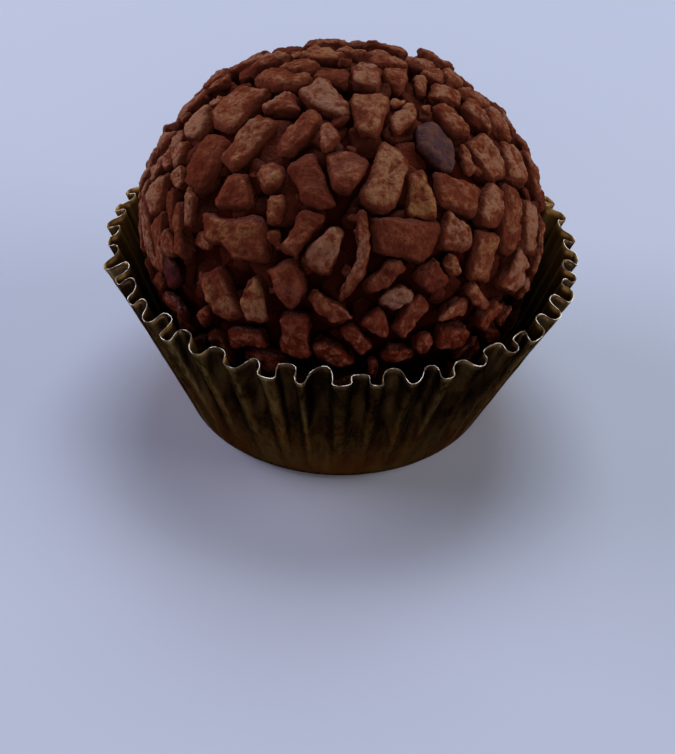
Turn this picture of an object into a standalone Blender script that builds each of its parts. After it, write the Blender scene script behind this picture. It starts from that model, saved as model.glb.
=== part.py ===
"""A brigadeiro: a soft chocolate fudge ball coated in broken chocolate flakes, sitting in its pleated foil-paper case.

Metres, +Z up. The origin is the middle of the case's flat base, on the surface that it stands on.
"""

import math
import random

import bmesh
import bpy
from mathutils import Matrix, Vector

MM = 0.001

# The ball, out to the tops of its flakes: widest at BALL_WAIST_Z, a little flattened above and settled on a flat foot.
BALL_RADIUS = 17.4 * MM
BALL_WAIST_Z = 18.2 * MM
BALL_RISE = 13.9 * MM
BALL_DROP = 19.2 * MM

# The flakes show as raised plates with grooves between them.
FLAKE_COUNT = 270
FLAKE_SCATTER = 0.34
GROOVE_HALF_WIDTH = 0.42 * MM
GROOVE_DEPTH = 0.95 * MM
FLAKE_UNEVENNESS = 0.30 * MM
FLAKE_SEED = 7

# The case: a flat base disc, a tight corner and a flared wall of pleats, pushed a little out of round by handling.
PAPER_THICKNESS = 0.25 * MM
REST_GAP = 0.3 * MM
PLEATS = 43
POINTS_PER_PLEAT = 6
FRONT_FOLD_ANGLE = math.radians(-85.6)
BASE_RADIUS = 13.8 * MM
CORNER_RADIUS = 14.5 * MM
CORNER_HEIGHT = 0.55 * MM
WALL_LENGTH = 16.6 * MM
WALL_FLARE = math.radians(19.6)
PLEAT_DEPTH_AT_CORNER = 0.12 * MM
PLEAT_DEPTH_AT_RIM = 0.68 * MM
PLEAT_UNEVENNESS = 0.22
PLEAT_SHARPNESS = 1.6
PLEAT_SEED = 3
RIM_DIP = 0.50
OUT_OF_ROUND = 0.30 * MM
OUT_OF_ROUND_ANGLE = math.radians(-40.0)
WALL_RINGS = 3


def remove_everything():
    for item in list(bpy.data.objects):
        bpy.data.objects.remove(item)


def make_material(name, colour, roughness, metallic=0.0):
    material = bpy.data.materials.new(name)
    material.use_nodes = True
    shader = material.node_tree.nodes["Principled BSDF"]
    shader.inputs["Base Color"].default_value = (*colour, 1.0)
    shader.inputs["Roughness"].default_value = roughness
    shader.inputs["Metallic"].default_value = metallic
    return material


def make_object(name, bm, collection, material):
    """A named object from a finished bmesh, with its faces pointing out."""
    bmesh.ops.recalc_face_normals(bm, faces=bm.faces[:])
    mesh = bpy.data.meshes.new(name)
    bm.to_mesh(mesh)
    bm.free()
    mesh.materials.append(material)
    made = bpy.data.objects.new(name, mesh)
    collection.objects.link(made)
    return made


def flake_directions():
    """Unit vectors spread over a sphere on a golden-angle spiral, each nudged so that no two flakes are alike."""
    chance = random.Random(FLAKE_SEED)
    golden_angle = math.pi * (3.0 - math.sqrt(5.0))
    nudge = FLAKE_SCATTER * math.sqrt(4.0 * math.pi / FLAKE_COUNT)
    directions = []
    for number in range(FLAKE_COUNT):
        height = 1.0 - 2.0 * (number + 0.5) / FLAKE_COUNT
        ring = math.sqrt(1.0 - height * height)
        angle = number * golden_angle
        spot = Vector((ring * math.cos(angle), ring * math.sin(angle), height))
        spot += Vector([chance.uniform(-nudge, nudge) for _ in range(3)])
        directions.append(spot.normalized())
    return directions


def ball_point(direction, depth):
    """The point of the settled ball in a direction from its waist's centre, at a depth below the flakes' tops."""
    height = BALL_RISE if direction.z > 0.0 else BALL_DROP
    radius = BALL_RADIUS - depth
    return Vector((direction.x * radius, direction.y * radius, BALL_WAIST_Z + direction.z * (height - depth)))


def around(vertex):
    """The faces round a vertex of a closed mesh, in order."""
    loop = vertex.link_loops[0]
    first = loop
    ordered = []
    while True:
        ordered.append(loop.face)
        loop = loop.link_loop_prev.link_loop_radial_next
        if loop == first:
            return ordered


def flake_patchwork():
    """A closed ball of one polygon for each flake, at the depth of the grooves: the dual of the flakes' hull."""
    hull = bmesh.new()
    for direction in flake_directions():
        hull.verts.new(direction)
    bmesh.ops.convex_hull(hull, input=hull.verts[:])
    bmesh.ops.recalc_face_normals(hull, faces=hull.faces[:])
    ball = bmesh.new()
    corners = {}
    for face in hull.faces:
        corners[face] = ball.verts.new(ball_point(face.normal.normalized(), GROOVE_DEPTH))
    for vertex in hull.verts:
        ball.faces.new([corners[face] for face in around(vertex)])
    hull.free()
    bmesh.ops.recalc_face_normals(ball, faces=ball.faces[:])
    return ball


def make_ball(collection, material):
    """The fudge ball with its coat of flakes, cut flat where it rests in the case."""
    ball = flake_patchwork()
    chance = random.Random(FLAKE_SEED)
    for face in ball.faces[:]:
        rise = GROOVE_DEPTH + chance.uniform(-FLAKE_UNEVENNESS, FLAKE_UNEVENNESS)
        bmesh.ops.inset_individual(
            ball, faces=[face], thickness=GROOVE_HALF_WIDTH, depth=rise, use_even_offset=True
        )
    foot = Vector((0.0, 0.0, PAPER_THICKNESS + REST_GAP))
    cut = bmesh.ops.bisect_plane(
        ball,
        geom=ball.verts[:] + ball.edges[:] + ball.faces[:],
        plane_co=foot,
        plane_no=Vector((0.0, 0.0, -1.0)),
        clear_outer=True,
    )
    rim = [item for item in cut["geom_cut"] if isinstance(item, bmesh.types.BMEdge)]
    bmesh.ops.edgeloop_fill(ball, edges=rim)
    return make_object("ball", ball, collection, material)


def fold_depths():
    """How deep each half pleat is, as a share of the usual depth: an outer fold, then an inner one, all the way round."""
    chance = random.Random(PLEAT_SEED)
    return [1.0 + chance.uniform(-PLEAT_UNEVENNESS, PLEAT_UNEVENNESS) for _ in range(2 * PLEATS)]


def pleat_wave(angle, depths):
    """From about -1 in a pleat's inner fold to 1 on its outer fold: a sine with flattened crests and steep sides."""
    phase = PLEATS * (angle - FRONT_FOLD_ANGLE) - math.pi / 2.0
    fold = math.floor(phase / math.pi) % len(depths)
    return depths[fold] * math.tanh(PLEAT_SHARPNESS * math.sin(phase)) / math.tanh(PLEAT_SHARPNESS)


def case_point(angle, share, depths):
    """A point of the case's outer surface, at a share of the way up its wall from the corner to the rim."""
    depth = PLEAT_DEPTH_AT_CORNER + (PLEAT_DEPTH_AT_RIM - PLEAT_DEPTH_AT_CORNER) * share
    fold = depth * pleat_wave(angle, depths)
    squeeze = OUT_OF_ROUND * math.cos(2.0 * (angle - OUT_OF_ROUND_ANGLE))
    along = WALL_LENGTH * share
    radius = CORNER_RADIUS + along * math.sin(WALL_FLARE) + fold + squeeze * share
    height = CORNER_HEIGHT + along * math.cos(WALL_FLARE) - RIM_DIP * fold * share
    return Vector((radius * math.cos(angle), radius * math.sin(angle), height))


def make_case(collection, material):
    """The pleated case: a base disc whose edge is drawn up ring by ring, then given the paper's thickness."""
    depths = fold_depths()
    case = bmesh.new()
    bmesh.ops.create_circle(
        case,
        cap_ends=True,
        radius=BASE_RADIUS,
        segments=PLEATS * POINTS_PER_PLEAT,
        matrix=Matrix.Rotation(FRONT_FOLD_ANGLE - math.pi / 2.0, 4, "Z"),
    )
    rim = [edge for edge in case.edges if edge.is_boundary]
    for ring in range(WALL_RINGS + 1):
        drawn = bmesh.ops.extrude_edge_only(case, edges=rim)["geom"]
        for vertex in [item for item in drawn if isinstance(item, bmesh.types.BMVert)]:
            angle = math.atan2(vertex.co.y, vertex.co.x)
            vertex.co = case_point(angle, ring / WALL_RINGS, depths)
        rim = [item for item in drawn if isinstance(item, bmesh.types.BMEdge) and item.is_boundary]
    made = make_object("case", case, collection, material)
    paper = made.modifiers.new("paper", "SOLIDIFY")
    paper.thickness = PAPER_THICKNESS
    paper.offset = -1.0
    return made


def main():
    remove_everything()
    collection = bpy.data.collections.new("brigadeiro")
    bpy.context.scene.collection.children.link(collection)
    chocolate = make_material("chocolate_flakes", (0.090, 0.036, 0.022), 0.62)
    foil_paper = make_material("foil_paper", (0.030, 0.022, 0.010), 0.38, 0.4)
    make_ball(collection, chocolate)
    make_case(collection, foil_paper)


main()
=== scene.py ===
"""How a brigadeiro looks: dark fudge in a coat of broken chocolate flakes, in its pleated foil-paper case."""

import math
import random

import bmesh
import bpy
import numpy as np
from mathutils import Matrix, Vector, noise


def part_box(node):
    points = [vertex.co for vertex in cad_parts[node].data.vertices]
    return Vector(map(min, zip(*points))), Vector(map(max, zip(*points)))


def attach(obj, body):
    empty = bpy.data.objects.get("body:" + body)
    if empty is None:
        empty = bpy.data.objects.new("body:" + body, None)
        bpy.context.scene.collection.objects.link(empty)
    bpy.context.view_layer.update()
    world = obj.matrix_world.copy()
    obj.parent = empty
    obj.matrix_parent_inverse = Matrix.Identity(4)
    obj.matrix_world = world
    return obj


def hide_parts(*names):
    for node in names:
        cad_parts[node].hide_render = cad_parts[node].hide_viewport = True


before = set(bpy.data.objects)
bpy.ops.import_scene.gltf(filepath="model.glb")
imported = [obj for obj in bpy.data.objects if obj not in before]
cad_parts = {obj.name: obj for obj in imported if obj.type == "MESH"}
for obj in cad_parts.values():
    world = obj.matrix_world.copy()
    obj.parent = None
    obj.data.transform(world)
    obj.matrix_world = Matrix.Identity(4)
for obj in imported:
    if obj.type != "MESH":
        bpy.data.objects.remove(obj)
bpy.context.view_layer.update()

MM = 0.001

# The view: from the front and forty degrees above, as a sweet is looked at on a table, with the camera held a
# little askew. A plain pale floor, and the soft light of a window behind and above.
elevation = math.radians(40.17)
askew = math.radians(1.62)
distance = 121.2 * MM
target = Vector((0.0, 0.0, -0.43 * MM))
camera_data = bpy.data.cameras.new("camera")
camera_data.lens = 59.7
camera_data.clip_start = 5 * MM
camera = bpy.data.objects.new("camera", camera_data)
camera.location = target + distance * Vector((0.0, -math.cos(elevation), math.sin(elevation)))
turned = Matrix.Rotation(math.pi / 2 - elevation, 3, "X") @ Matrix.Rotation(askew, 3, "Z")
camera.rotation_euler = turned.to_euler()
bpy.context.scene.collection.objects.link(camera)
bpy.context.scene.camera = camera
bpy.context.scene.view_settings.view_transform = "Standard"


def add_node(tree, kind, inputs=None, **settings):
    """Adds a node, sets its properties, and fills its inputs with plain values or other nodes' outputs."""
    node = tree.nodes.new(kind)
    for name, value in settings.items():
        setattr(node, name, value)
    for name, value in (inputs or {}).items():
        if isinstance(value, bpy.types.NodeSocket):
            tree.links.new(value, node.inputs[name])
        else:
            node.inputs[name].default_value = value
    return node


def start_material(name, roughness):
    """A new material, returned with its tree and its Principled BSDF."""
    material = bpy.data.materials.new(name)
    material.use_nodes = True
    tree = material.node_tree
    shader = tree.nodes["Principled BSDF"]
    shader.inputs["Roughness"].default_value = roughness
    return material, tree, shader


def make_object(name, mesh, material=None):
    made = bpy.data.objects.new(name, mesh)
    bpy.context.scene.collection.objects.link(made)
    if material:
        mesh.materials.append(material)
    return made


floor_mesh = bmesh.new()
bmesh.ops.create_grid(floor_mesh, size=3.0)
floor_data = bpy.data.meshes.new("floor")
floor_mesh.to_mesh(floor_data)
floor_mesh.free()
floor_material, _, floor_shader = start_material("pale_floor", 0.5)
floor_shader.inputs["Base Color"].default_value = (0.266, 0.302, 0.402, 1.0)
floor_shader.inputs["Specular IOR Level"].default_value = 0.0
floor = make_object("floor", floor_data, floor_material)

world = bpy.data.worlds.new("world")
world.use_nodes = True
world.node_tree.nodes["Background"].inputs["Color"].default_value = (0.95, 0.96, 1.0, 1.0)
world.node_tree.nodes["Background"].inputs["Strength"].default_value = 0.04
bpy.context.scene.world = world


def add_light(name, place, size, watts, colour):
    """A square area light that faces the sweet."""
    data = bpy.data.lights.new(name, "AREA")
    data.size = size
    data.energy = watts
    data.color = colour
    light = bpy.data.objects.new(name, data)
    light.location = place
    light.rotation_euler = (-Vector(place)).to_track_quat("-Z", "Y").to_euler()
    bpy.context.scene.collection.objects.link(light)


add_light("window", (0.05, 0.28, 0.50), 0.36, 3.7, (0.97, 0.99, 1.0))
add_light("table", (0.0, -0.55, 0.14), 0.40, 1.6, (1.0, 0.86, 0.80))
add_light("room", (-0.50, 0.12, 0.20), 0.40, 4.2, (1.0, 0.90, 0.98))
add_light("wall", (0.50, -0.05, 0.18), 0.40, 3.4, (1.0, 0.92, 0.84))


# The fudge: a soft dark ball that shows only in the gaps between the flakes. It is rolled by hand, so it is
# bumpy, and it settles on a flat foot.
ball_low, ball_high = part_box("ball")
ball_radius = (ball_high.x - ball_low.x + ball_high.y - ball_low.y) / 4
waist = Vector((0.0, 0.0, 18.2 * MM))
ball_rise = ball_high.z - waist.z
ball_drop = 19.2 * MM
fudge_depth = 1.65 * MM


def ball_point(direction, depth=0.0):
    """The point of the coated ball in a direction from its waist, at a depth below the tops of the flakes."""
    height = ball_rise if direction.z > 0.0 else ball_drop
    flat = ball_radius - depth
    return waist + Vector((direction.x * flat, direction.y * flat, direction.z * (height - depth)))


def ball_normal(direction):
    """The way out of the ball at the point in that direction."""
    height = ball_rise if direction.z > 0.0 else ball_drop
    return Vector((direction.x / ball_radius, direction.y / ball_radius, direction.z / height)).normalized()


fudge_mesh = bmesh.new()
bmesh.ops.create_icosphere(fudge_mesh, subdivisions=6, radius=1.0)
for vertex in fudge_mesh.verts:
    lump = noise.noise(vertex.co * 7.0) * 0.25 * MM + noise.noise(vertex.co * 19.0) * 0.12 * MM
    place = ball_point(vertex.co.normalized(), fudge_depth - lump)
    place.z = max(place.z, ball_low.z)
    vertex.co = place
fudge_data = bpy.data.meshes.new("fudge")
fudge_mesh.to_mesh(fudge_data)
fudge_mesh.free()
fudge_data.shade_smooth()


def new_group(kind, name, inputs, output, output_type="NodeSocketFloat"):
    """A node group with one output and named inputs, each given as its usual value or its socket's type."""
    group = bpy.data.node_groups.new(name, kind)
    group.interface.new_socket(output, in_out="OUTPUT", socket_type=output_type)
    number_types = {float: "NodeSocketFloat", int: "NodeSocketInt"}
    for label, value in inputs.items():
        socket_type = number_types.get(type(value), value)
        socket = group.interface.new_socket(label, in_out="INPUT", socket_type=socket_type)
        if type(value) in number_types:
            socket.default_value = value
    return group, add_node(group, "NodeGroupInput").outputs


def calc(operation, *values, kind="ShaderNodeMath"):
    """The result of a Math node, in the tree that its values come from."""
    tree = next(value for value in values if isinstance(value, bpy.types.NodeSocket)).id_data
    return add_node(tree, kind, dict(enumerate(values)), operation=operation).outputs[0]


def multiply(first, second):
    return calc("MULTIPLY", first, second)


def ranged(value, low, high, highest=1.0):
    """Runs from 0 to 1, or to another highest value, as a value goes from low to high."""
    inputs = {"Value": value, "From Min": low, "From Max": high, "To Max": highest}
    return add_node(value.id_data, "ShaderNodeMapRange", inputs).outputs[0]


# A mask from 0 low on the ball and on its front to 1 high up and on its flanks. It marks where the chocolate
# is damp and glossier, and it is also the mask of painted light: what it darkens is painted shade, where less
# light reaches.
dryness_and_light, given = new_group(
    "ShaderNodeTree", "dryness_and_light", {"Damp and Shaded Below": 14.0 * MM, "Dry and Lit Above": 34.0 * MM}, "Mask"
)
place = add_node(dryness_and_light, "ShaderNodeTexCoord").outputs["Object"]
parts = add_node(dryness_and_light, "ShaderNodeSeparateXYZ", {0: place}).outputs
reach = calc("MULTIPLY_ADD", calc("ABSOLUTE", parts["X"]), 0.50, parts["Z"])
add_node(dryness_and_light, "NodeGroupOutput", {"Mask": ranged(reach, given["Damp and Shaded Below"], given["Dry and Lit Above"])})


def use_group(tree, group, **values):
    """Places a node group in a material with its own values."""
    inputs = {label.replace("_", " "): value for label, value in values.items()}
    return add_node(tree, "ShaderNodeGroup", inputs, node_tree=group).outputs[0]


def mix_colours(factor, *colours):
    """Goes from the first colour to the second as the factor rises."""
    first, second = (value if isinstance(value, bpy.types.NodeSocket) else (*value, 1.0) for value in colours)
    inputs = {0: factor, 6: first, 7: second}
    return add_node(factor.id_data, "ShaderNodeMix", inputs, data_type="RGBA").outputs[2]


fudge_material, fudge_tree, fudge_shader = start_material("dark_fudge", 0.9)
# Painted shade: the fudge is near black low on the ball and on the front, and dark red higher up and on the
# flanks.
fudge_colour = mix_colours(use_group(fudge_tree, dryness_and_light), (0.004, 0.0004, 0.0002), (0.026, 0.0042, 0.0024))
fudge_tree.links.new(fudge_colour, fudge_shader.inputs["Base Color"])
fudge_shader.inputs["Specular IOR Level"].default_value = 0.0
fudge = make_object("fudge", fudge_data, fudge_material)
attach(fudge, "root")
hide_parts("ball")


# Where the flakes lie. The ones on the front are listed one by one: kind, degrees across and up over the ball
# from the spot that faces the viewer, degrees that its length is turned up from level, length, width and how
# far it stands proud in mm, and tone from dark to light, or -5 for a smoky one. The others are rolled on.
laid_by_hand = (
    ("block", -38, 35, 80, 5.5, 4.2, 0, 0.45),
    ("oval", -51.5, 28, 100, 4.4, 3.0, 0.1, 1.2),
    ("block", -28, 21, 61, 5.4, 2.5, 0, 0.45),
    ("oval", -13, 24, 55, 5.2, 2.4, 0, 0.25),
    ("block", -41, 15, 75, 4.7, 3.9, 0, 0.15),
    ("wedge", -21, 35, 200, 2.9, 2.5, 0, 0.45),
    ("oval", -19, 10, 80, 2.7, 2.5, 0, 0.4),
    ("wedge", -29, 4, 92, 4.1, 4.0, 0, 0.2),
    ("block", -8, 8, -65, 4.8, 2.4, 0, 0.1),
    ("oval", -4, 22, 88, 3.4, 1.4, 0, 0.4),
    ("wedge", -6, 37, -38, 5.0, 3.2, 0, 0.8),
    ("wedge", 1, 12, -95, 3.7, 3.6, 0, 0.25),
    ("wedge", 7, 31, -92, 4.8, 3.3, 0, 0.6),
    ("block", 7, 49, -90, 3.8, 2.9, 0, 0.7),
    ("wedge", 20, 48, -92, 3.7, 2.7, 0, 0.35),
    ("oval", 18, 31, 62, 4.2, 1.8, 0, 0.8),
    ("block", 11, 10, 72, 6.4, 2.9, 0, 0.6),
    ("wedge", 20, 6, 95, 4.0, 2.5, 0, 0.75),
    ("block", 31, 6, -8, 4.2, 3.0, 0, 0.28),
    ("oval", 43, 3, 62, 4.1, 2.9, 0, 0.6),
    ("block", 45, 19, -62, 4.4, 2.7, 0, 0.6),
    ("block", 57, 18, 85, 3.9, 3.2, 0, 0.65),
    ("sliver", 35, 17, 82, 2.7, 1.3, 0, 0.4),
    ("oval", 27, 22, -75, 5.0, 3.4, 0, -5),
    ("block", 38, 41, -8, 3.5, 1.9, 0, 0.6),
    ("block", 35, 31, -70, 3.3, 2.2, 0, 0.45),
    ("block", 54, 51, -10, 3.3, 2.8, 0, 0.6),
    ("oval", 59, 43, -20, 3.8, 3.4, 0, 0.5),
    ("wedge", 60, 31, -50, 3.6, 2.8, 0, 0.6),
    ("ell", -29, -8, 0, 5.6, 3.9, 0, 0.3),
    ("block", -38, -28, -78, 4.6, 3.2, 0, 0.6),
    ("wedge", -26, -28, 80, 4.0, 2.8, 0, 1.3),
    ("block", -14, -40, 86, 4.6, 3.1, 0, 0.15),
    ("block", -34, -41, -5, 4.0, 1.7, 0, 0.1),
    ("oval", -3, -46, -34, 4.3, 2.3, 0, 0.25),
    ("block", -14, -22, -60, 3.7, 2.7, 0, 0.2),
    ("block", -3, -28, -45, 4.3, 1.9, 0, 0.4),
    ("sliver", 6, -41, -48, 3.6, 1.5, 0, 0.2),
    ("sliver", 14, -50, -80, 3.3, 1.1, 0, 0.1),
    ("block", -10, -6, 60, 4.3, 1.8, 0, 0.2),
    ("wedge", -4, -11, 62, 4.0, 3.0, 0, 0.7),
    ("block", -17, 0, 85, 2.6, 1.5, 0, 0.3),
    ("curl", 5, -13, -92, 6.4, 0.95, 0, 0.4),
    ("block", 16, -8, -3, 5.9, 3.6, 0, 0.2),
    ("wedge", 32, -7, -15, 3.5, 3.4, 0, 0.6),
    ("block", 11, -19, 42, 3.7, 1.8, 0, 0.2),
    ("block", 25, -18, -40, 3.0, 2.5, 0, 0.05),
    ("wedge", 31, -16, -40, 1.9, 1.6, 0, 0.4),
    ("oval", 32, -23, 85, 1.8, 1.0, 0, 0.15),
    ("oval", 23, -45, 0, 2.8, 1.6, -0.1, 0.05),
    ("oval", 16, -25, 5, 2.5, 1.9, 0.1, 2.4),
    ("block", 22, -32, 60, 3.4, 1.7, 0, 0.25),
    ("wedge", 12, -35, -50, 2.7, 2.0, 0, 0.15),
    ("wedge", 36, -30, 200, 3.5, 1.7, 0, 0.5),
    ("block", 42, -39, 8, 3.2, 2.3, 0, 0.1),
    ("oval", 31, -41, -60, 2.8, 1.9, 0, 0.2),
    ("block", 43, -26, -28, 3.5, 1.5, 0, 0.4),
    ("block", 55, -31, 70, 2.8, 1.9, 0, 0.3),
    ("block", 41, -12, 88, 4.8, 2.8, 0, 0.4),
    ("block", 60, -17, 82, 3.8, 3.4, 0, 0.9),
    ("block", 52, -1, 84, 6.0, 2.5, 0, 0.3),
    ("block", 65, -2, 88, 5.4, 3.0, 0, 1.4),
    ("block", -72, -8, 85, 6.7, 2.8, 0, 0.9),
    ("sliver", -61, -10, 80, 6.1, 2.4, 0, 0.55),
    ("block", -50, -7, 95, 4.6, 2.3, 0, 0.2),
    ("block", -62, 3, 100, 4.4, 3.2, 0, 0.75),
    ("sliver", -68, 57, 48, 5.2, 2.8, 0.1, 0.45),
    ("block", -70, 47, 60, 2.7, 1.9, 0.3, 0.5),
    ("block", -61, 45, 40, 2.6, 1.5, 0, 0.45),
    ("wedge", -42, 57, 10, 3.6, 3.0, 0, 0.6),
    ("block", -23, 54, -20, 3.0, 2.6, 0, 0.45),
    ("block", -25, 45, -2, 4.8, 2.6, 0.1, 0.35),
    ("oval", -4, 48, -15, 3.4, 2.8, -0.1, 0.15),
    ("wedge", -13, 62, -20, 3.8, 3.2, 0, 0.7),
    ("block", -30, 78, 30, 4.0, 3.0, 0, 0.45),
    ("block", 10, 84, 0, 4.0, 3.0, 0.1, 0.5),
    ("wedge", 6, 66, -10, 3.4, 2.4, -0.1, 0.5),
    ("block", 22, 57, -10, 3.2, 1.8, 0, 0.5),
    ("oval", 22, 66, -20, 3.0, 2.2, -0.1, 0.4),
    ("block", 45, 74, -50, 3.6, 2.2, 0, 0.5),
    ("sliver", 66, 62, -100, 4.0, 1.9, 0.45, 0.4),
    ("block", 47, 57, -45, 4.4, 2.8, 0, 0.75),
    ("block", 31, 45, 75, 2.6, 1.7, 0, 0.6),
    ("oval", 40, 50, 60, 2.4, 1.9, 0, 0.4),
    ("block", -70, 36, 42, 4.4, 2.0, 0, 0.85),
    ("block", -84, 25, 60, 2.6, 2.2, 0, 0.75),
    ("block", -86, 17, 65, 2.6, 2.4, 0, 0.7),
    ("block", -84, 9, 75, 3.6, 2.6, 0, 0.75),
    ("wedge", -70, 23, 20, 3.0, 2.6, 0, 0.75),
    ("block", -59, 19, 75, 3.6, 1.9, -0.1, 0.65),
    ("oval", -66, 13, 60, 2.8, 1.8, 0, 0.75),
    ("wedge", -53, 17, -80, 2.8, 1.6, 0.05, 0.95),
    ("block", -50, 9, 60, 1.9, 1.6, 0.05, 1),
    ("wedge", -39, 5, 75, 2.2, 1.0, 0, 0.6),
    ("block", -44, 0, 88, 2.9, 1.2, 0, 0.55),
    ("wedge", -51, -1, -70, 4.2, 2.6, -0.15, 0.15),
    ("sliver", -76, 5, 80, 3.4, 1.6, 0, 0.75),
    ("block", -82, -5, 85, 5.0, 2.0, 0, 0.75),
    ("wedge", 50, 34, -60, 3.4, 2.6, 0, 0.55),
    ("block", 74, 33, -50, 2.6, 2.0, 0, 0.5),
    ("block", 76, 25, -60, 3.4, 2.4, 0, 0.55),
    ("block", 72, 15, -75, 4.4, 2.2, 0, 0.5),
    ("oval", 66, 7, 80, 1.8, 1.5, 0, 0.3),
    ("sliver", 82, -6, 88, 3.4, 2.0, 0, 0.55),
    ("oval", -58, -21, 80, 3.0, 2.2, -0.1, -5),
    ("oval", -47, -24, 60, 1.8, 1.2, 0, 1.0),
    ("sliver", -64, -30, -42, 4.2, 1.5, 0, 0.15),
    ("wedge", -50, -34, 30, 2.4, 1.5, -0.2, 0.1),
    ("sliver", 77, -13, 88, 3.2, 1.6, 0, 0.5),
    ("wedge", 66, -30, 75, 2.0, 1.3, 0, 0.4),
)
facing_viewer = Matrix.Rotation(math.radians(-40.0), 3, "X")
flakes = []


def lay_flake(kind, direction, turn, length, width, lift, tone, by_hand, pole=Vector((0.0, 0.0, 1.0))):
    """Notes a flake that lies flat on the ball in that direction, its length turned up from level."""
    level = pole.cross(direction)
    level = level.normalized() if level.length > 0.01 else Vector((1.0, 0.0, 0.0))
    steep = direction.cross(level)
    along = math.cos(turn) * level + math.sin(turn) * steep
    flakes.append(
        {"kind": kind, "direction": direction, "along": along, "length": length, "width": width, "lift": lift,
         "tone": tone, "by_hand": by_hand}
    )


for kind, across, up, turn, length, width, lift, tone in laid_by_hand:
    across, up = math.radians(across), math.radians(up)
    spot = Vector((math.sin(across) * math.cos(up), -math.cos(across) * math.cos(up), math.sin(up)))
    lay_flake(
        kind, facing_viewer @ spot, math.radians(turn), length * MM, width * MM, lift * MM, tone, True,
        facing_viewer.col[2],
    )

# The rest of the coat: flakes of every kind all round, sized and turned at random, which shuffle until they
# lie side by side. A flake is three discs in a row, and discs that meet push each other along the ball.
chance = random.Random(11)
rolled_on = 300
kind_shares = {"block": 0.28, "wedge": 0.32, "oval": 0.22, "sliver": 0.18}
lowest_flake = 2.5 * MM
flake_gap = 0.18 * MM
shuffles = 120
push_share = 0.30
swing_share = 0.5
buried_within = 0.36


def spiral(count, start=0.0):
    """Directions spread evenly round the ball, on a golden-angle spiral."""
    golden_angle = math.pi * (3.0 - math.sqrt(5.0))
    for number in range(count):
        height = 1.0 - 2.0 * (number + 0.5) / count
        ring = math.sqrt(1.0 - height * height)
        angle = number * golden_angle + start
        yield Vector((ring * math.cos(angle), ring * math.sin(angle), height))


def disc_reach(flake):
    """How far a flake's two outer discs stand from its middle."""
    return max(flake["length"] - flake["width"] * 0.85, 0.0) / 2


def discs_of(middles, along, reach):
    """The places of every flake's three discs: flakes by discs by x, y, z."""
    steps = np.array([-1.0, 0.0, 1.0])[None, :, None]
    return middles[:, None, :] + along[:, None, :] * reach[:, None, None] * steps


for spot in spiral(rolled_on):
    kind = chance.choices(list(kind_shares), list(kind_shares.values()))[0]
    width = chance.triangular(1.7, 3.7, 2.6) * MM
    length = width * chance.uniform(1.15, 1.75)
    if kind == "sliver":
        width, length = width * 0.55, length * 1.1
    turn = chance.uniform(0.0, math.pi)
    tone = 2.2 * chance.betavariate(1.6, 2.2) ** 2
    middle = ball_point(spot)
    if middle.z < lowest_flake:
        continue
    buried = any(
        flake["by_hand"]
        and (ball_point(flake["direction"]) - middle).length < flake["length"] * buried_within
        for flake in flakes
    )
    if not buried:
        lay_flake(kind, spot, turn, length, width, chance.uniform(-0.22, 0.12) * MM, tone, False)

middles = np.array([ball_point(flake["direction"]) for flake in flakes])
alongs = np.array([flake["along"] for flake in flakes])
reaches = np.array([disc_reach(flake) for flake in flakes])
radii = np.array([flake["width"] / 2 for flake in flakes])
loose = np.array([0.0 if flake["by_hand"] else 1.0 for flake in flakes])


def onto_ball(places):
    """Puts places back on the ball's surface; gives them with the way out of the ball there."""
    away = places - np.array(waist)
    semi = np.where(away[:, 2:3] > 0.0, np.array([[ball_radius, ball_radius, ball_rise]]),
                    np.array([[ball_radius, ball_radius, ball_drop]]))
    direction = away / semi
    direction /= np.linalg.norm(direction, axis=1, keepdims=True)
    outward = direction / semi
    outward /= np.linalg.norm(outward, axis=1, keepdims=True)
    return np.array(waist) + direction * semi, outward


for _ in range(shuffles):
    discs = discs_of(middles, alongs, reaches)
    flat = discs.reshape(-1, 3)
    owner = np.repeat(np.arange(len(flakes)), 3)
    apart = flat[:, None, :] - flat[None, :, :]
    distance_apart = np.linalg.norm(apart, axis=2)
    room = radii[owner][:, None] + radii[owner][None, :] + flake_gap
    overlap = np.where(owner[:, None] == owner[None, :], 0.0, np.maximum(room - distance_apart, 0.0))
    push = (
        (apart / np.maximum(distance_apart, 1e-9)[:, :, None] * overlap[:, :, None]).sum(axis=1) * push_share
    )
    push = push.reshape(-1, 3, 3)
    move = push.mean(axis=1) * loose[:, None]
    lever = discs - middles[:, None, :]
    swing = np.cross(lever, push).sum(axis=1) / (reaches ** 2 * 2 + (radii ** 2))[:, None] * swing_share
    middles, outward = onto_ball(middles + move)
    alongs = alongs + np.cross(swing, alongs) * loose[:, None]
    alongs -= outward * (alongs * outward).sum(axis=1, keepdims=True)
    alongs /= np.linalg.norm(alongs, axis=1, keepdims=True)
sides = np.cross(outward, alongs)


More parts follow.
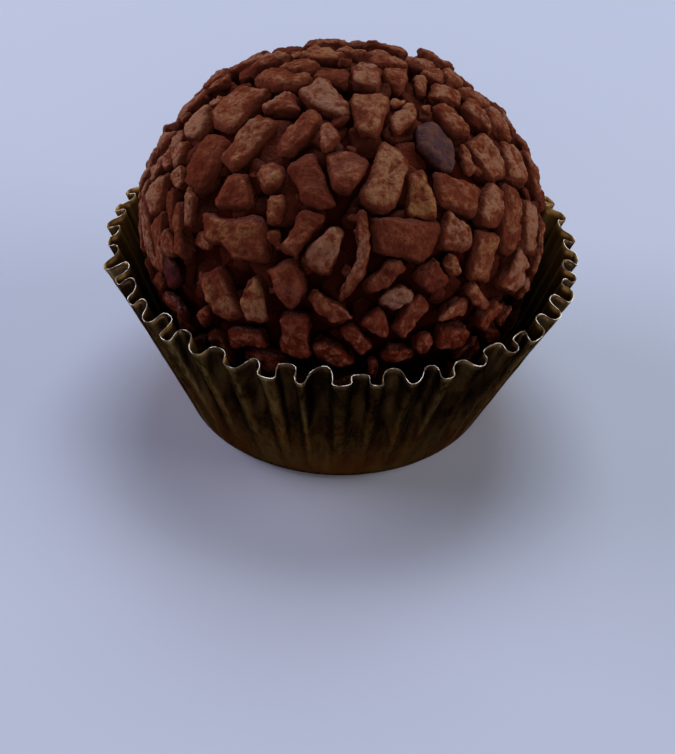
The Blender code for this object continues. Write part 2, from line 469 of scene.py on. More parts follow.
# The outline of each flake, seen from outside the ball. The granules are broken from a slab, so they are
# blunt blocks and wedges, worn ovals, slivers and bent bits, knocked askew and trimmed clear of each other.
outlines = {
    "block": ((-0.95, -0.72), (-0.78, -0.92), (-0.05, -0.94), (0.70, -1.00), (0.93, -0.78),
              (1.00, 0.62), (0.82, 0.90), (0.10, 0.97), (-0.62, 1.00), (-0.90, 0.80)),
    "wedge": ((-1.00, -0.70), (-0.85, -0.95), (-0.10, -0.82), (0.86, -0.40), (1.00, -0.14),
              (0.96, 0.22), (0.78, 0.42), (-0.10, 0.80), (-0.80, 1.00), (-0.98, 0.78)),
    "oval": ((-1.00, 0.00), (-0.72, -0.72), (0.00, -1.00), (0.72, -0.68),
             (1.00, 0.05), (0.72, 0.72), (0.00, 1.00), (-0.74, 0.70)),
    "sliver": ((-1.00, -0.30), (-0.72, -0.90), (0.00, -0.78), (0.78, -0.90),
               (1.00, 0.00), (0.80, 0.82), (0.00, 1.00), (-0.82, 0.72)),
    "ell": ((-1.02, 0.55), (-1.02, -0.12), (-0.64, -0.34), (-0.34, -0.25), (0.06, -0.92),
            (0.90, -1.03), (1.00, -0.44), (0.95, 0.88), (-0.25, 0.80), (-0.92, 1.00)),
    "curl": ((-1.03, -0.91), (-0.36, -0.55), (0.12, -0.36), (0.48, -1.36), (1.00, -3.50),
             (1.09, -2.45), (0.67, 0.36), (0.12, 1.55), (-0.42, 1.36), (-1.03, 0.91)),
}
outline_points = 10
knock = 0.11
shortest_side = 0.12


def clip(points, foot, away):
    """Cuts off what lies past a line, given by a point on it and the way past it, from a flat outline."""
    kept = []
    for here, there in zip(points, points[1:] + points[:1]):
        past_here, past_there = (here - foot).dot(away), (there - foot).dot(away)
        if past_here <= 0.0:
            kept.append(here)
        if past_here * past_there < 0.0:
            kept.append(here.lerp(there, past_here / (past_here - past_there)))
    return kept


def even_out(points, count):
    """The same outline with a given number of points: short sides are merged and long ones split."""
    points = list(points)
    while len(points) > 3:
        sides = [(points[i] - points[i - 1]).length for i in range(len(points))]
        shortest = min(range(len(points)), key=lambda i: sides[i])
        if sides[shortest] > shortest_side * sum(sides) / len(sides) and len(points) <= count:
            break
        points[shortest - 1] = (points[shortest] + points[shortest - 1]) / 2
        del points[shortest]
    while len(points) < count:
        longest = max(range(len(points)), key=lambda i: (points[i] - points[i - 1]).length)
        points.insert(longest, (points[longest] + points[longest - 1]) / 2)
    return points


def area(points):
    return sum(
        here.x * there.y - there.x * here.y for here, there in zip(points, points[1:] + points[:1])
    ) / 2


def knocked_outline(kind, length, width, mirror=1.0):
    """A flake's outline in its plane at its own size, knocked out of true, and mirrored if mirror is -1."""
    points = []
    for x, y in outlines[kind]:
        out = 1.03 + chance.uniform(-knock, knock)
        points.append(Vector((x * out * length / 2, mirror * y * out * width / 2)))
    if mirror < 0.0:
        points.reverse()
    return points


def keep_clear(number, points, other, other_points, share):
    """Trims a flake's outline where it comes too near another's. It gives up a share of what they lack."""
    theirs = []
    for point in other_points:
        place = middles[other] + alongs[other] * point.x + sides[other] * point.y - middles[number]
        theirs.append(Vector((place @ alongs[number], place @ sides[number])))
    widest_gap = None
    for ring, sign in ((points, 1.0), (theirs, -1.0)):
        for here, there in zip(ring, ring[1:] + ring[:1]):
            if (there - here).length < 0.01 * MM:
                continue
            away = sign * Vector((there.y - here.y, here.x - there.x)).normalized()
            mine_far = max(point.dot(away) for point in points)
            gap = min(point.dot(away) for point in theirs) - mine_far
            if widest_gap is None or gap > widest_gap:
                widest_gap, best_way, best_far = gap, away, mine_far
    if widest_gap >= flake_gap:
        return points
    return clip(points, best_way * (best_far - (flake_gap - widest_gap) * share), best_way)


kinds_in_piece = {
    "blocks": ("block", "ell"), "wedges": ("wedge",), "ovals": ("oval",), "slivers": ("sliver", "curl"),
}
kept_whole = ("curl", "ell")
smallest_flake = 1.8 * MM ** 2
neighbours_within = 9 * MM
crowd_within = 4.6 * MM
laid_middles = middles[[flake["by_hand"] for flake in flakes]]


def is_among_laid(place):
    """Whether at least three of the listed flakes lie close by."""
    return (np.linalg.norm(laid_middles - np.array(place), axis=1) < crowd_within).sum() >= 3


rough_outlines = []
for flake in flakes:
    mirror = 1.0 if flake["by_hand"] else chance.choice((-1.0, 1.0))
    rough_outlines.append(knocked_outline(flake["kind"], flake["length"], flake["width"], mirror))
trimmed = {}
for number, flake in enumerate(flakes):
    points = rough_outlines[number]
    whole = area(points)
    near = np.linalg.norm(middles - middles[number], axis=1) < neighbours_within
    near[number] = False
    if is_among_laid(middles[number]) and not flake["by_hand"]:
        continue
    for other in np.flatnonzero(near):
        if len(points) < 3 or flake["kind"] in kept_whole:
            continue
        if flake["by_hand"] and flakes[other]["by_hand"]:
            share = 1.0 if flakes[other]["kind"] in kept_whole else 0.5
            points = keep_clear(number, points, other, rough_outlines[other], share)
        elif not flake["by_hand"]:
            first_there = other in trimmed and flakes[other]["by_hand"]
            other_points = trimmed[other] if first_there else rough_outlines[other]
            points = keep_clear(number, points, other, other_points, 1.0 if flakes[other]["by_hand"] else 0.5)
    if len(points) > 2 and area(points) > max(smallest_flake, 0.35 * whole):
        trimmed[number] = points


def tip_over(out, along, degrees_of_tip):
    """A little random tip for a flake, as it never lies quite flat."""
    one_way = Matrix.Rotation(math.radians(chance.gauss(0.0, degrees_of_tip)), 3, along)
    return Matrix.Rotation(math.radians(chance.gauss(0.0, degrees_of_tip)), 3, out.cross(along)) @ one_way


def is_covered(place, margin=0.15 * MM):
    """Whether a flake of the coat lies over this place, or within a margin of it."""
    longest_reach = 4 * MM
    for number in np.flatnonzero(np.linalg.norm(middles - np.array(place), axis=1) < longest_reach):
        if number in trimmed:
            away = np.array(place) - middles[number]
            here = Vector((away @ alongs[number], away @ sides[number]))
            ring = trimmed[number]
            if all(
                (b - a).cross(here - a) > -margin * (b - a).length for a, b in zip(ring, ring[1:] + ring[:1])
            ):
                return True
    return False


# Small flakes have dropped into the openings left, but not on the front, where the gaps show the fudge.
drop = random.Random(5)
openings_tried = 900
opening_reach = 0.95 * MM
crown_above = 27.5 * MM
flank_past = 13.5 * MM
for spot in spiral(openings_tried):
    middle = ball_point(spot)
    in_front = middle.z < crown_above and abs(middle.x) < flank_past
    if middle.z < lowest_flake or (is_among_laid(middle) and in_front) or is_covered(middle, opening_reach):
        continue
    out = ball_normal(spot)
    along = Matrix.Rotation(drop.uniform(0.0, math.tau), 3, out) @ out.orthogonal().normalized()
    width = drop.uniform(1.5, 2.1) * MM
    kind = drop.choice(("block", "wedge", "oval"))
    trimmed[len(flakes)] = knocked_outline(kind, width * drop.uniform(1.0, 1.4), width)
    tone = drop.uniform(0.1, 1.0)
    flakes.append({"kind": kind, "by_hand": False, "width": width, "lift": -0.15 * MM, "tone": tone})
    middles, outward = np.vstack((middles, middle)), np.vstack((outward, out))
    alongs, sides = np.vstack((alongs, along)), np.vstack((sides, out.cross(along)))

shapes = {piece: [] for piece in kinds_in_piece}
for number, points in trimmed.items():
    flake = flakes[number]
    points = even_out(points, outline_points)
    out, along = Vector(outward[number]), Vector(alongs[number])
    tip = tip_over(out, along, 3.0 if flake["by_hand"] else 6.0)
    lift = flake["lift"] + chance.uniform(-0.10, 0.10) * MM
    thickness = min(1.9 * MM, flake["width"] * 0.70) * chance.uniform(0.9, 1.15)
    piece = next(name for name, kinds in kinds_in_piece.items() if flake["kind"] in kinds)
    shapes[piece].append(
        (Vector(middles[number]), tip @ out, tip @ along, points, lift, thickness, flake["tone"])
    )

# Under them a first layer of flakes is pressed into the fudge and stained by it, and crumbs lodge between.
# Their low tones give them the painted shade of the flakes' sides. They lie higher towards the crown and the
# flanks, where the coat is thick, and their tone rises there: painted light.
for piece, kinds, count, tone_range, depth, smallest, largest, points_round in (
    ("first_layer", ("block", "wedge", "oval"), 330, (-2.0, -1.0), (1.40, 1.80), 2.0, 3.4, 9),
    ("crumbs", ("block", "wedge"), 420, (-1.2, -0.3), (0.90, 1.50), 0.65, 1.4, 6),
):
    shapes[piece] = []
    for spot in spiral(count, start=1.0):
        spot = (spot + Vector([chance.uniform(-0.06, 0.06) for _ in range(3)])).normalized()
        middle = ball_point(spot)
        if middle.z < lowest_flake or (piece == "crumbs" and is_covered(middle)):
            continue
        out = ball_normal(spot)
        along = Matrix.Rotation(chance.uniform(0.0, math.tau), 3, out) @ out.orthogonal().normalized()
        width = chance.uniform(smallest, largest) * MM
        points = knocked_outline(chance.choice(kinds), width * chance.uniform(1.0, 1.6), width)
        points = even_out(points, points_round)
        tip = tip_over(out, along, 10.0)
        lift = (0.6 * spot.z + 0.35 * abs(spot.x) - chance.uniform(*depth)) * MM
        # Painted light: the tone rises towards the crown and the flanks.
        tone = chance.uniform(*tone_range) + 1.1 * spot.z + 0.5 * abs(spot.x)
        shapes[piece].append(
            (middle, tip @ out, tip @ along, points, lift, min(1.2 * MM, width * 0.55), tone)
        )


def outline_mesh(name, shape_list):
    """A mesh of one face for each flake, at its widest level, with what the face's flake needs to know."""
    mesh = bmesh.new()
    thicknesses = mesh.faces.layers.float.new("thickness")
    tones = mesh.faces.layers.float.new("tone")
    tints = mesh.faces.layers.float.new("tint")
    for middle, out, along, points, lift, thickness, tone in shape_list:
        side = out.cross(along)
        corners = []
        for point in points:
            sag = point.length_squared / (4.0 * ball_radius)
            corners.append(mesh.verts.new(
                middle + along * point.x + side * point.y + out * (lift - sag - widest_level * thickness)
            ))
        face = mesh.faces.new(corners)
        face[thicknesses] = thickness
        face[tones] = tone
        # Less golden, so rosier, towards the flanks: a painted pinkish sheen of light there.
        face[tints] = chance.betavariate(1.5, 1.0) * (1.0 - 0.8 * (middle.x / ball_radius) ** 2)
    data = bpy.data.meshes.new(name)
    mesh.to_mesh(data)
    mesh.free()
    return data


# The body of a flake, grown from its outline: the sides rise to a blunt shoulder and a slightly domed crown,
# and run in to a narrower foot in the fudge. It is rounded, then lumped a little, as broken chocolate is.
widest_level = 0.35
flake_tree, given = new_group("GeometryNodeTree", "flake_bodies", {
    "Geometry": "NodeSocketGeometry", "Shoulder": 0.94, "Crown": 0.83, "Foot": 0.80, "Lump Size": 1.3 * MM,
    "Lump Height": 0.85 * MM, "Chip Size": 0.45 * MM, "Chip Height": 0.45 * MM, "Knock": 0.7 * MM,
    "Sharpness": 0.4, "Rounds": 2, "Seed": 0.0, "Material": "NodeSocketMaterial",
}, "Geometry", "NodeSocketGeometry")


def vector_calc(operation, *values):
    return calc(operation, *values, kind="ShaderNodeVectorMath")


def scaled_by(vector, factor):
    inputs = {0: vector, "Scale": factor}
    return add_node(vector.id_data, "ShaderNodeVectorMath", inputs, operation="SCALE").outputs[0]


def read(tree, name):
    """A value that the mesh brings with it."""
    return add_node(tree, "GeometryNodeInputNamedAttribute", {"Name": name}, data_type="FLOAT").outputs[0]


def mark(source, name, value, selection=True):
    """Notes a value at the chosen points, for the material to read."""
    inputs = {"Geometry": source, "Name": name, "Value": value, "Selection": selection}
    return add_node(
        source.id_data, "GeometryNodeStoreNamedAttribute", inputs, data_type="FLOAT", domain="POINT"
    ).outputs[0]


def moved(source, offset):
    return add_node(
        source.id_data, "GeometryNodeSetPosition", {"Geometry": source, "Offset": offset}
    ).outputs[0]


def shaken(source, cloud, far):
    """Moves every point a little, by how far a cloud's colour there is from middle grey."""
    return moved(source, scaled_by(vector_calc("SUBTRACT", cloud.outputs["Color"], (0.5, 0.5, 0.5)), far))


def give_out(source, material):
    """Ends a Geometry Nodes tree with smooth, real geometry in its material."""
    tree = source.id_data
    for kind in ("GeometryNodeSetShadeSmooth", "GeometryNodeRealizeInstances"):
        source = add_node(tree, kind, {"Geometry": source}).outputs[0]
    clad = add_node(tree, "GeometryNodeSetMaterial", {"Geometry": source, "Material": material})
    add_node(tree, "NodeGroupOutput", {"Geometry": clad.outputs[0]})


def grow(source, selection, rise, spread, top):
    """Draws every chosen face out by a share of its flake's thickness, spreads its rim, and marks how much of
    a top that rim is."""
    height = multiply(read(flake_tree, "thickness"), rise)
    drawn = add_node(
        flake_tree, "GeometryNodeExtrudeMesh",
        {"Mesh": source, "Offset Scale": height, "Selection": selection},
    ).outputs
    rim = {"Geometry": drawn["Mesh"], "Selection": drawn["Top"], "Scale": spread}
    scaled = add_node(flake_tree, "GeometryNodeScaleElements", rim).outputs[0]
    return mark(scaled, "top", top, drawn["Top"]), drawn["Top"]


outline_marked = mark(given["Geometry"], "top", 0.0)
upper, top = grow(outline_marked, True, 0.22, given["Shoulder"], 0.38)
upper, top = grow(upper, top, 0.13, given["Crown"], 0.85)
upper, top = grow(upper, top, 0.07, 0.5, 1.0)
turned_over = add_node(flake_tree, "GeometryNodeFlipFaces", {"Mesh": outline_marked}).outputs[0]
lower, _ = grow(turned_over, True, 0.55, given["Foot"], 0.0)
joined = add_node(flake_tree, "GeometryNodeJoinGeometry")
flake_tree.links.new(lower, joined.inputs[0])
flake_tree.links.new(upper, joined.inputs[0])
closed = add_node(
    flake_tree, "GeometryNodeMergeByDistance", {"Geometry": joined.outputs[0], "Distance": 0.01 * MM}
)
knock_cloud = add_node(
    flake_tree, "ShaderNodeTexNoise", {"W": given["Seed"], "Scale": 0.7 / MM, "Detail": 0.0},
    noise_dimensions="4D",
)
knocked = shaken(closed.outputs[0], knock_cloud, given["Knock"])
crease = add_node(flake_tree, "FunctionNodeRandomValue", {2: 0.0, 3: given["Sharpness"]}, data_type="FLOAT")
rounded = add_node(
    flake_tree, "GeometryNodeSubdivisionSurface",
    {"Mesh": knocked, "Level": given["Rounds"], "Edge Crease": crease.outputs[1]},
).outputs[0]
outward_way = add_node(flake_tree, "GeometryNodeInputNormal").outputs[0]
uneven = {}
for label in ("Lump", "Chip"):
    scale = calc("DIVIDE", 1.0, given[label + " Size"])
    cloud = add_node(
        flake_tree, "ShaderNodeTexNoise", {"W": given["Seed"], "Scale": scale, "Detail": 1.0},
        noise_dimensions="4D",
    )
    uneven[label] = calc("SUBTRACT", cloud.outputs[0], 0.5)
height = calc(
    "ADD", multiply(uneven["Lump"], given["Lump Height"]), multiply(uneven["Chip"], given["Chip Height"])
)
lumped = mark(rounded, "relief", calc("ADD", uneven["Lump"], uneven["Chip"]))
give_out(moved(lumped, scaled_by(outward_way, height)), given["Material"])


def grow_piece(name, seed_mesh, tree, values):
    """Runs a Geometry Nodes tree on a mesh with the given inputs, and leaves the result as a plain object."""
    grown = make_object(name, seed_mesh, values["Material"])
    modifier = grown.modifiers.new("grow", "NODES")
    modifier.node_group = tree
    for socket in tree.interface.items_tree:
        if socket.in_out == "INPUT" and socket.name in values:
            modifier[socket.identifier] = values[socket.name]
    depsgraph = bpy.context.evaluated_depsgraph_get()
    result = bpy.data.meshes.new_from_object(grown.evaluated_get(depsgraph))
    grown.modifiers.remove(modifier)
    grown.data = result
    return grown


# Broken chocolate: brown, its tops dusty where the fat has bloomed. Fat and cocoa never mix evenly, so it is
# mottled. Its broken grain is fine and dull. Light and shade are painted into its colour: paler on faces that
# turn up, darker in pits, painted shade down the sides of the flakes and on the first layer, and darker and
# redder low on the ball and on the front, painted shade and warm bounce light, where it is also damp and
# glossier.
mottle, given = new_group(
    "ShaderNodeTree", "mottle", {"Patch Size": 1.0 * MM, "Upright": 1.0, "From": 0.4, "To": 0.6}, "Mask"
)
place = add_node(mottle, "ShaderNodeTexCoord").outputs["Object"]
upright = add_node(mottle, "ShaderNodeCombineXYZ", {"X": 1.0, "Y": 1.0, "Z": given["Upright"]}).outputs[0]
place = vector_calc("MULTIPLY", place, upright)
scale = calc("DIVIDE", 1.0, given["Patch Size"])
cloud = add_node(mottle, "ShaderNodeTexNoise", {"Vector": place, "Scale": scale, "Detail": 3.0}).outputs[0]
add_node(mottle, "NodeGroupOutput", {"Mask": ranged(cloud, given["From"], given["To"])})

grain, given = new_group("ShaderNodeTree", "broken_grain", {"Coarse": 0.35 * MM, "Fine": 0.10 * MM}, "Height")
place = add_node(grain, "ShaderNodeTexCoord").outputs["Object"]
heights = []
for label in ("Coarse", "Fine"):
    scale = calc("DIVIDE", 1.0, given[label])
    cloud = add_node(grain, "ShaderNodeTexNoise", {"Vector": place, "Scale": scale, "Detail": 2.0})
    heights.append(cloud.outputs[0])
fine_share = 0.22
add_node(grain, "NodeGroupOutput", {"Height": calc("ADD", heights[0], multiply(heights[1], fine_share))})

# Painted shade: the colours of the flakes' sides and of the first layer, near black low on the ball and dark
# red higher up.
side_shade_low, side_shade_high = (0.010, 0.0009, 0.0004), (0.062, 0.0160, 0.0094)
low_break_warm_light, high_break = (0.054, 0.0058, 0.0028), (0.047, 0.0092, 0.0056)
thin_bloom = (0.082, 0.0232, 0.0110)
rosy_bloom, tawny_bloom = (0.124, 0.0600, 0.0420), (0.124, 0.0560, 0.0220)
dust_and_highlight = (0.140, 0.0480, 0.0320)
smoky_shade_low = (0.030, 0.0062, 0.0066)
brown_smoky, smoky_bluish_reflection = (0.052, 0.0240, 0.0200), (0.033, 0.0165, 0.0195)
flake_material, shading, flake_shader = start_material("chocolate_flake", 0.45)
tone, tint, top, relief = (
    add_node(shading, "ShaderNodeAttribute", attribute_name=name).outputs["Fac"]
    for name in ("tone", "tint", "top", "relief")
)
patches = use_group(shading, mottle, Patch_Size=0.9 * MM, From=0.34, To=0.66)
specks = use_group(shading, mottle, Patch_Size=0.28 * MM, From=0.36, To=0.66)
# 1 on the tops of the outer flakes, 0 down their sides and on the first layer, which are painted with shade.
unshaded_top = multiply(ranged(top, 0.25, 0.80), ranged(tone, -0.5, 0.0))
dry_and_lit = use_group(shading, dryness_and_light)
facing = add_node(shading, "ShaderNodeTexCoord").outputs["Normal"]
upward = add_node(shading, "ShaderNodeSeparateXYZ", {0: facing}).outputs["Z"]
# How pale each spot is: mottled by specks and patches, with painted light mixed in. It is paler on faces that
# turn up, where fat bloom settles and light falls, darker in pits, and it is missing on the painted-shade
# sides and weaker low on the ball and on the front.
bloom_and_light = multiply(tone, 2.15)
for share in (
    ranged(relief, -0.35, 0.10), ranged(upward, -0.65, 0.45), ranged(specks, -0.5, 0.8),
    ranged(patches, 1.2, 0.0), multiply(unshaded_top, ranged(dry_and_lit, -0.5, 0.55)),
):
    bloom_and_light = multiply(bloom_and_light, share)
# Golden at middle heights, rosier at the crown and low down: a painted pinkish sheen and highlights.
golden = multiply(multiply(tint, ranged(dry_and_lit, 1.20, 0.80)), ranged(dry_and_lit, 0.10, 0.50))
thick_bloom = mix_colours(golden, rosy_bloom, tawny_bloom)
# Redder low on the ball and on the front: painted warm light bounced up from below.
fresh_break = mix_colours(ranged(dry_and_lit, 0.15, 0.60), low_break_warm_light, high_break)
colour = mix_colours(ranged(bloom_and_light, -0.02, 0.28), fresh_break, thin_bloom)
colour = mix_colours(ranged(bloom_and_light, 0.20, 0.65), colour, thick_bloom)
# Pale specks on the tops of the low flakes: dust, and painted pinkish highlights.
dust_and_highlight_mask = use_group(shading, mottle, Patch_Size=0.6 * MM, From=0.46, To=0.60)
for share in (ranged(dry_and_lit, 0.75, 0.15), unshaded_top, ranged(patches, 1.1, 0.3), 0.95):
    dust_and_highlight_mask = multiply(dust_and_highlight_mask, share)
colour = mix_colours(dust_and_highlight_mask, colour, dust_and_highlight)
# Painted shade down the sides of the flakes and over the first layer beneath them.
side = mix_colours(multiply(dry_and_lit, ranged(tone, -1.6, 0.0)), side_shade_low, side_shade_high)
colour = mix_colours(unshaded_top, side, colour)
# The smoky flakes: grey-brown with bluish patches, partly a painted reflection of cool light, and darker low
# on the ball, painted shade.
smoky = mix_colours(ranged(patches, 0.75, 0.30), brown_smoky, smoky_bluish_reflection)
smoky = mix_colours(ranged(dry_and_lit, 0.55, 0.85), smoky_shade_low, smoky)
colour = mix_colours(multiply(ranged(tone, -4.0, -4.5), ranged(top, 0.0, 0.4)), colour, smoky)
shading.links.new(colour, flake_shader.inputs["Base Color"])
gloss = multiply(multiply(calc("SUBTRACT", 1.0, dry_and_lit), 0.15), ranged(upward, 0.70, 0.98))
shading.links.new(gloss, flake_shader.inputs["Specular IOR Level"])
bump = add_node(
    shading, "ShaderNodeBump", {"Height": use_group(shading, grain), "Strength": 0.75, "Distance": 0.34 * MM}
)
shading.links.new(bump.outputs[0], flake_shader.inputs["Normal"])

pieces = (
    ("blocks", 2, 0.55, 0.7), ("wedges", 2, 0.5, 0.75), ("ovals", 2, 0.3, 0.85), ("slivers", 2, 0.3, 0.75),
    ("first_layer", 1, 0.4, 0.85), ("crumbs", 1, 0.9, 0.6),
)
for number, (piece, rounds, sharpness, lumps) in enumerate(pieces):
    body = grow_piece(
        "flake_" + piece if piece in kinds_in_piece else piece,
        outline_mesh(piece, shapes[piece]), flake_tree,
        {"Seed": float(number), "Rounds": rounds, "Sharpness": sharpness, "Lump Height": lumps * MM,
         "Material": flake_material},
    )
    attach(body, "root")
    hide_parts("ball")


# The case: one disc of dark foil-coated paper, pressed so that its wall stands up in pleats, which start at
# the corner round the flat base and deepen to the rim. No two folds match, and handling has left it oval.
pleats = 43
columns_per_pleat = 16
front_fold_angle = math.radians(-85.6)
pleat_unevenness = 0.30
pleat_sharpness = 0.8
pleat_seed = 3
out_of_round = 0.30 * MM
out_of_round_angle = math.radians(-40.0)
paper_thickness = 0.05 * MM

fold_chance = random.Random(pleat_seed)
fold_depths = [1.0 + fold_chance.uniform(-pleat_unevenness, pleat_unevenness) for _ in range(2 * pleats)]
fold_swells = [fold_chance.uniform(0.02, 0.38) * MM for _ in range(2 * pleats)]


def pleat_at(angle):
    """How far the wall is folded out there, from about -1 to 1, and how far it leans along the rim, as each
    fold swells over its neck."""
    wander = noise.noise((3.4 * math.cos(angle), 3.4 * math.sin(angle), 0.0))
    squash = noise.noise((13.0 * math.cos(angle), 13.0 * math.sin(angle), 5.0))
    phase = pleats * (angle - front_fold_angle) - math.pi / 2 + 1.2 * wander + 1.2 * squash
    half = math.floor(phase / math.pi) % len(fold_depths)
    out = fold_depths[half] * math.tanh(pleat_sharpness * math.sin(phase)) / math.tanh(pleat_sharpness)
    out *= 1.0 + 0.5 * noise.noise((6.0 * math.cos(angle), 6.0 * math.sin(angle), 9.0))
    return out, -fold_swells[half] * math.sin(2.0 * phase)


ring_mesh = bmesh.new()
folds = ring_mesh.verts.layers.float.new("fold")
swells = ring_mesh.verts.layers.float.new("swell")
squeezes = ring_mesh.verts.layers.float.new("squeeze")
columns = pleats * columns_per_pleat
ring_radius = 1.0 * MM
for column in range(columns):
    angle = math.tau * column / columns
    point = ring_mesh.verts.new((math.cos(angle) * ring_radius, math.sin(angle) * ring_radius, 0.0))
    point[folds], point[swells] = pleat_at(angle)
    point[squeezes] = out_of_round * math.cos(2.0 * (angle - out_of_round_angle))
ring_mesh.verts.ensure_lookup_table()
for column in range(columns):
    ring_mesh.edges.new((ring_mesh.verts[column], ring_mesh.verts[(column + 1) % columns]))
ring_data = bpy.data.meshes.new("case_ring")
ring_mesh.to_mesh(ring_data)
ring_mesh.free()

case_tree, given = new_group("GeometryNodeTree", "pleated_case", {
    "Geometry": "NodeSocketGeometry", "Base Radius": 13.8 * MM, "Corner Radius": 14.5 * MM,
    "Corner Height": 0.55 * MM, "Wall Length": 16.6 * MM, "Flare": math.radians(19.6),
    "Pleat Depth at Corner": 0.0, "Pleat Depth at Rim": 0.62 * MM, "Rim Dip": 0.50, "Crumple": 0.42 * MM,
    "Material": "NodeSocketMaterial",
}, "Geometry", "NodeSocketGeometry")


def point_at(across, up):
    """A point of the case's section, across from its axis and up from the table, as the sweep turns it."""
    flat = add_node(case_tree, "ShaderNodeCombineXYZ", {"X": calc("SUBTRACT", across, ring_radius), "Y": up})
    return vector_calc("MULTIPLY", flat.outputs[0], (1.0, -1.0, 1.0))


wall_height = multiply(given["Wall Length"], calc("COSINE", given["Flare"]))
wall_spread = multiply(given["Wall Length"], calc("SINE", given["Flare"]))
rim_point = point_at(
    calc("ADD", given["Corner Radius"], wall_spread), calc("ADD", given["Corner Height"], wall_height)
)
corner_point = point_at(given["Corner Radius"], given["Corner Height"])
base_point = point_at(given["Base Radius"], 0.0)
section = add_node(case_tree, "GeometryNodeJoinGeometry")
for start, end, count in (
    ((-ring_radius, 0.0, 0.0), base_point, 12), (base_point, corner_point, 3), (corner_point, rim_point, 26),
):
    line = add_node(case_tree, "GeometryNodeCurvePrimitiveLine", {"Start": start, "End": end})
    cut = add_node(
        case_tree, "GeometryNodeResampleCurve", {"Curve": line.outputs[0], "Count": count}, mode="COUNT"
    )
    case_tree.links.new(cut.outputs[0], section.inputs[0])
ring = add_node(case_tree, "GeometryNodeMeshToCurve", {"Mesh": given["Geometry"]})
swept = add_node(
    case_tree, "GeometryNodeCurveToMesh", {"Curve": ring.outputs[0], "Profile Curve": section.outputs[0]}
)
whole = add_node(
    case_tree, "GeometryNodeMergeByDistance", {"Geometry": swept.outputs[0], "Distance": 0.001 * MM}
)
position = add_node(case_tree, "GeometryNodeInputPosition").outputs[0]
height = add_node(case_tree, "ShaderNodeSeparateXYZ", {0: position}).outputs["Z"]
away = vector_calc("NORMALIZE", vector_calc("MULTIPLY", position, (1.0, 1.0, 0.0)))
share = calc("DIVIDE", calc("SUBTRACT", height, given["Corner Height"]), wall_height)
share = add_node(case_tree, "ShaderNodeClamp", {"Value": share}).outputs[0]
deepening = calc("SUBTRACT", given["Pleat Depth at Rim"], given["Pleat Depth at Corner"])
depth = calc("ADD", given["Pleat Depth at Corner"], multiply(deepening, share))
on_wall = calc("GREATER_THAN", height, multiply(given["Corner Height"], 0.4))
pushed = multiply(multiply(read(case_tree, "fold"), depth), on_wall)
pushed = calc("ADD", pushed, multiply(read(case_tree, "squeeze"), share))
dipped = multiply(multiply(pushed, share), multiply(given["Rim Dip"], -1.0))
down_push = add_node(case_tree, "ShaderNodeCombineXYZ", {"Z": dipped}).outputs[0]
round_way = vector_calc("CROSS_PRODUCT", (0.0, 0.0, 1.0), away)
round_push = scaled_by(round_way, multiply(read(case_tree, "swell"), multiply(share, share)))
push_way = vector_calc("ADD", vector_calc("ADD", scaled_by(away, pushed), down_push), round_push)
crumple_cloud = add_node(
    case_tree, "ShaderNodeTexNoise", {"Scale": 0.28 / MM, "Detail": 4.0, "Roughness": 0.62},
    noise_dimensions="3D",
)
crumpled = shaken(moved(whole.outputs[0], push_way), crumple_cloud, multiply(given["Crumple"], share))
facing_out = add_node(
    case_tree, "GeometryNodeFlipFaces", {"Mesh": mark(crumpled, "way_up", share)}
).outputs[0]
give_out(facing_out, given["Material"])

# The foil is darker down in its folds, painted shade, and pale gold where they stand out, a painted
# reflection that is brightest low on the wall, paler still along their tops, a painted highlight and wear
# from rubbing, with faint upright streaks and stains. Its plain base fades into the pleats.
foil_material, foil, foil_shader = start_material("foil_outside", 0.38)
fold, way_up = (
    add_node(foil, "ShaderNodeAttribute", attribute_name=name).outputs["Fac"] for name in ("fold", "way_up")
)
pleated_part = ranged(way_up, 0.06, 0.60, 0.96)
# Painted light on the folds: those that stand out are lit, those folded in are shaded.
ridge_light = add_node(foil, "ShaderNodeMix", {0: pleated_part, 2: 0.55, 3: ranged(fold, 0.50, 1.20)}).outputs[0]
streaks = use_group(foil, mottle, Patch_Size=0.40 * MM, Upright=0.10, From=0.30, To=0.62)
streaks = add_node(foil, "ShaderNodeMix", {0: ranged(way_up, 0.1, 0.5), 2: 0.70, 3: streaks}).outputs[0]
stains = use_group(foil, mottle, Patch_Size=4.0 * MM, From=0.42, To=0.60)
# The lit folds: a painted gold reflection, bright low on the wall and dim near the rim, with stains.
lit_crest = mix_colours(stains, (0.380, 0.250, 0.105), (0.380, 0.170, 0.060))
lit_crest = mix_colours(ranged(way_up, 0.25, 0.85), lit_crest, (0.084, 0.054, 0.018))
murk = use_group(foil, mottle, Patch_Size=1.3 * MM, Upright=0.13, From=0.38, To=0.64)
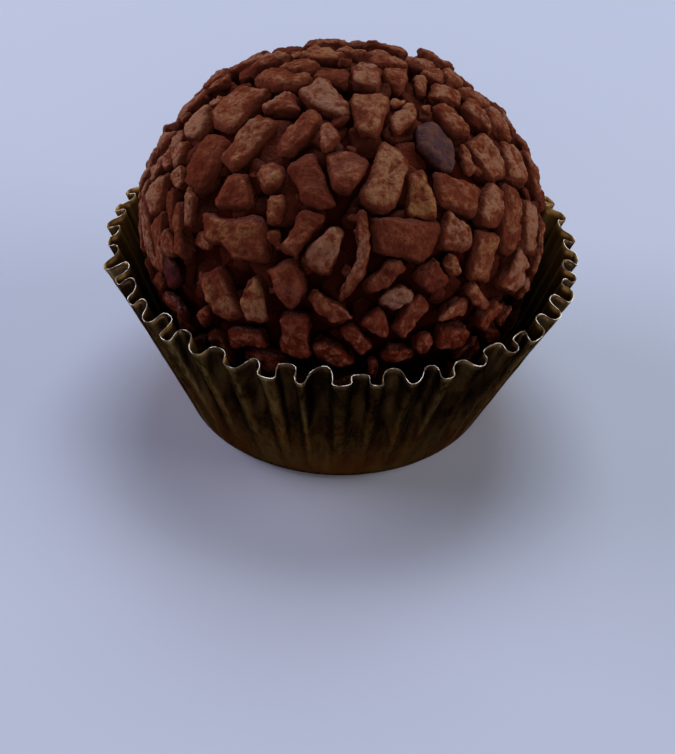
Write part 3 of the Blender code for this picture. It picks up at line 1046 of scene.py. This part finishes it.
# Painted shade down in the folds.
shaded_valley = mix_colours(murk, (0.018, 0.010, 0.006), (0.078, 0.047, 0.020))
foil_colour = mix_colours(multiply(ridge_light, streaks), shaded_valley, lit_crest)
# Paler along the tops of the folds: a painted highlight, and wear from rubbing.
rubbed_and_highlight = multiply(ranged(fold, 0.85, 1.10), use_group(foil, mottle, Patch_Size=0.5 * MM, Upright=0.12))
foil_colour = mix_colours(multiply(rubbed_and_highlight, pleated_part), foil_colour, (0.230, 0.165, 0.072))
foil.links.new(foil_colour, foil_shader.inputs["Base Color"])
crinkle = add_node(
    foil, "ShaderNodeBump", {"Height": use_group(foil, grain), "Strength": 0.6, "Distance": 0.07 * MM}
)
foil.links.new(crinkle.outputs[0], foil_shader.inputs["Normal"])
foil_shader.inputs["Metallic"].default_value = 1.0
foil_shader.inputs["Specular Tint"].default_value = (0.12, 0.08, 0.04, 1.0)
inside_material, _, inside_shader = start_material("foil_inside", 0.52)
inside_shader.inputs["Base Color"].default_value = (0.148, 0.088, 0.030, 1.0)
inside_shader.inputs["Metallic"].default_value = 1.0
inside_shader.inputs["Specular Tint"].default_value = (0.35, 0.20, 0.10, 1.0)
edge_material, edge_tree, edge_shader = start_material("cut_paper_edge", 0.5)
# The cut paper edge shows pale paper in patches; the brightest patches are partly painted glints.
bare_and_glint = use_group(edge_tree, mottle, Patch_Size=0.7 * MM, From=0.45, To=0.62)
edge_colour = mix_colours(bare_and_glint, (0.045, 0.038, 0.030), (0.72, 0.70, 0.66))
edge_tree.links.new(edge_colour, edge_shader.inputs["Base Color"])

case = grow_piece("pleated_case", ring_data, case_tree, {"Material": foil_material})
case.data.materials.append(inside_material)
case.data.materials.append(edge_material)
paper = case.modifiers.new("paper", "SOLIDIFY")
paper.thickness = paper_thickness
paper.offset = -1.0
paper.material_offset = 1
paper.material_offset_rim = 2
solid = bpy.data.meshes.new_from_object(case.evaluated_get(bpy.context.evaluated_depsgraph_get()))
case.modifiers.remove(paper)
case.data = solid
for polygon in solid.polygons:
    polygon.use_smooth = polygon.material_index != 2
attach(case, "root")
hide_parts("case")
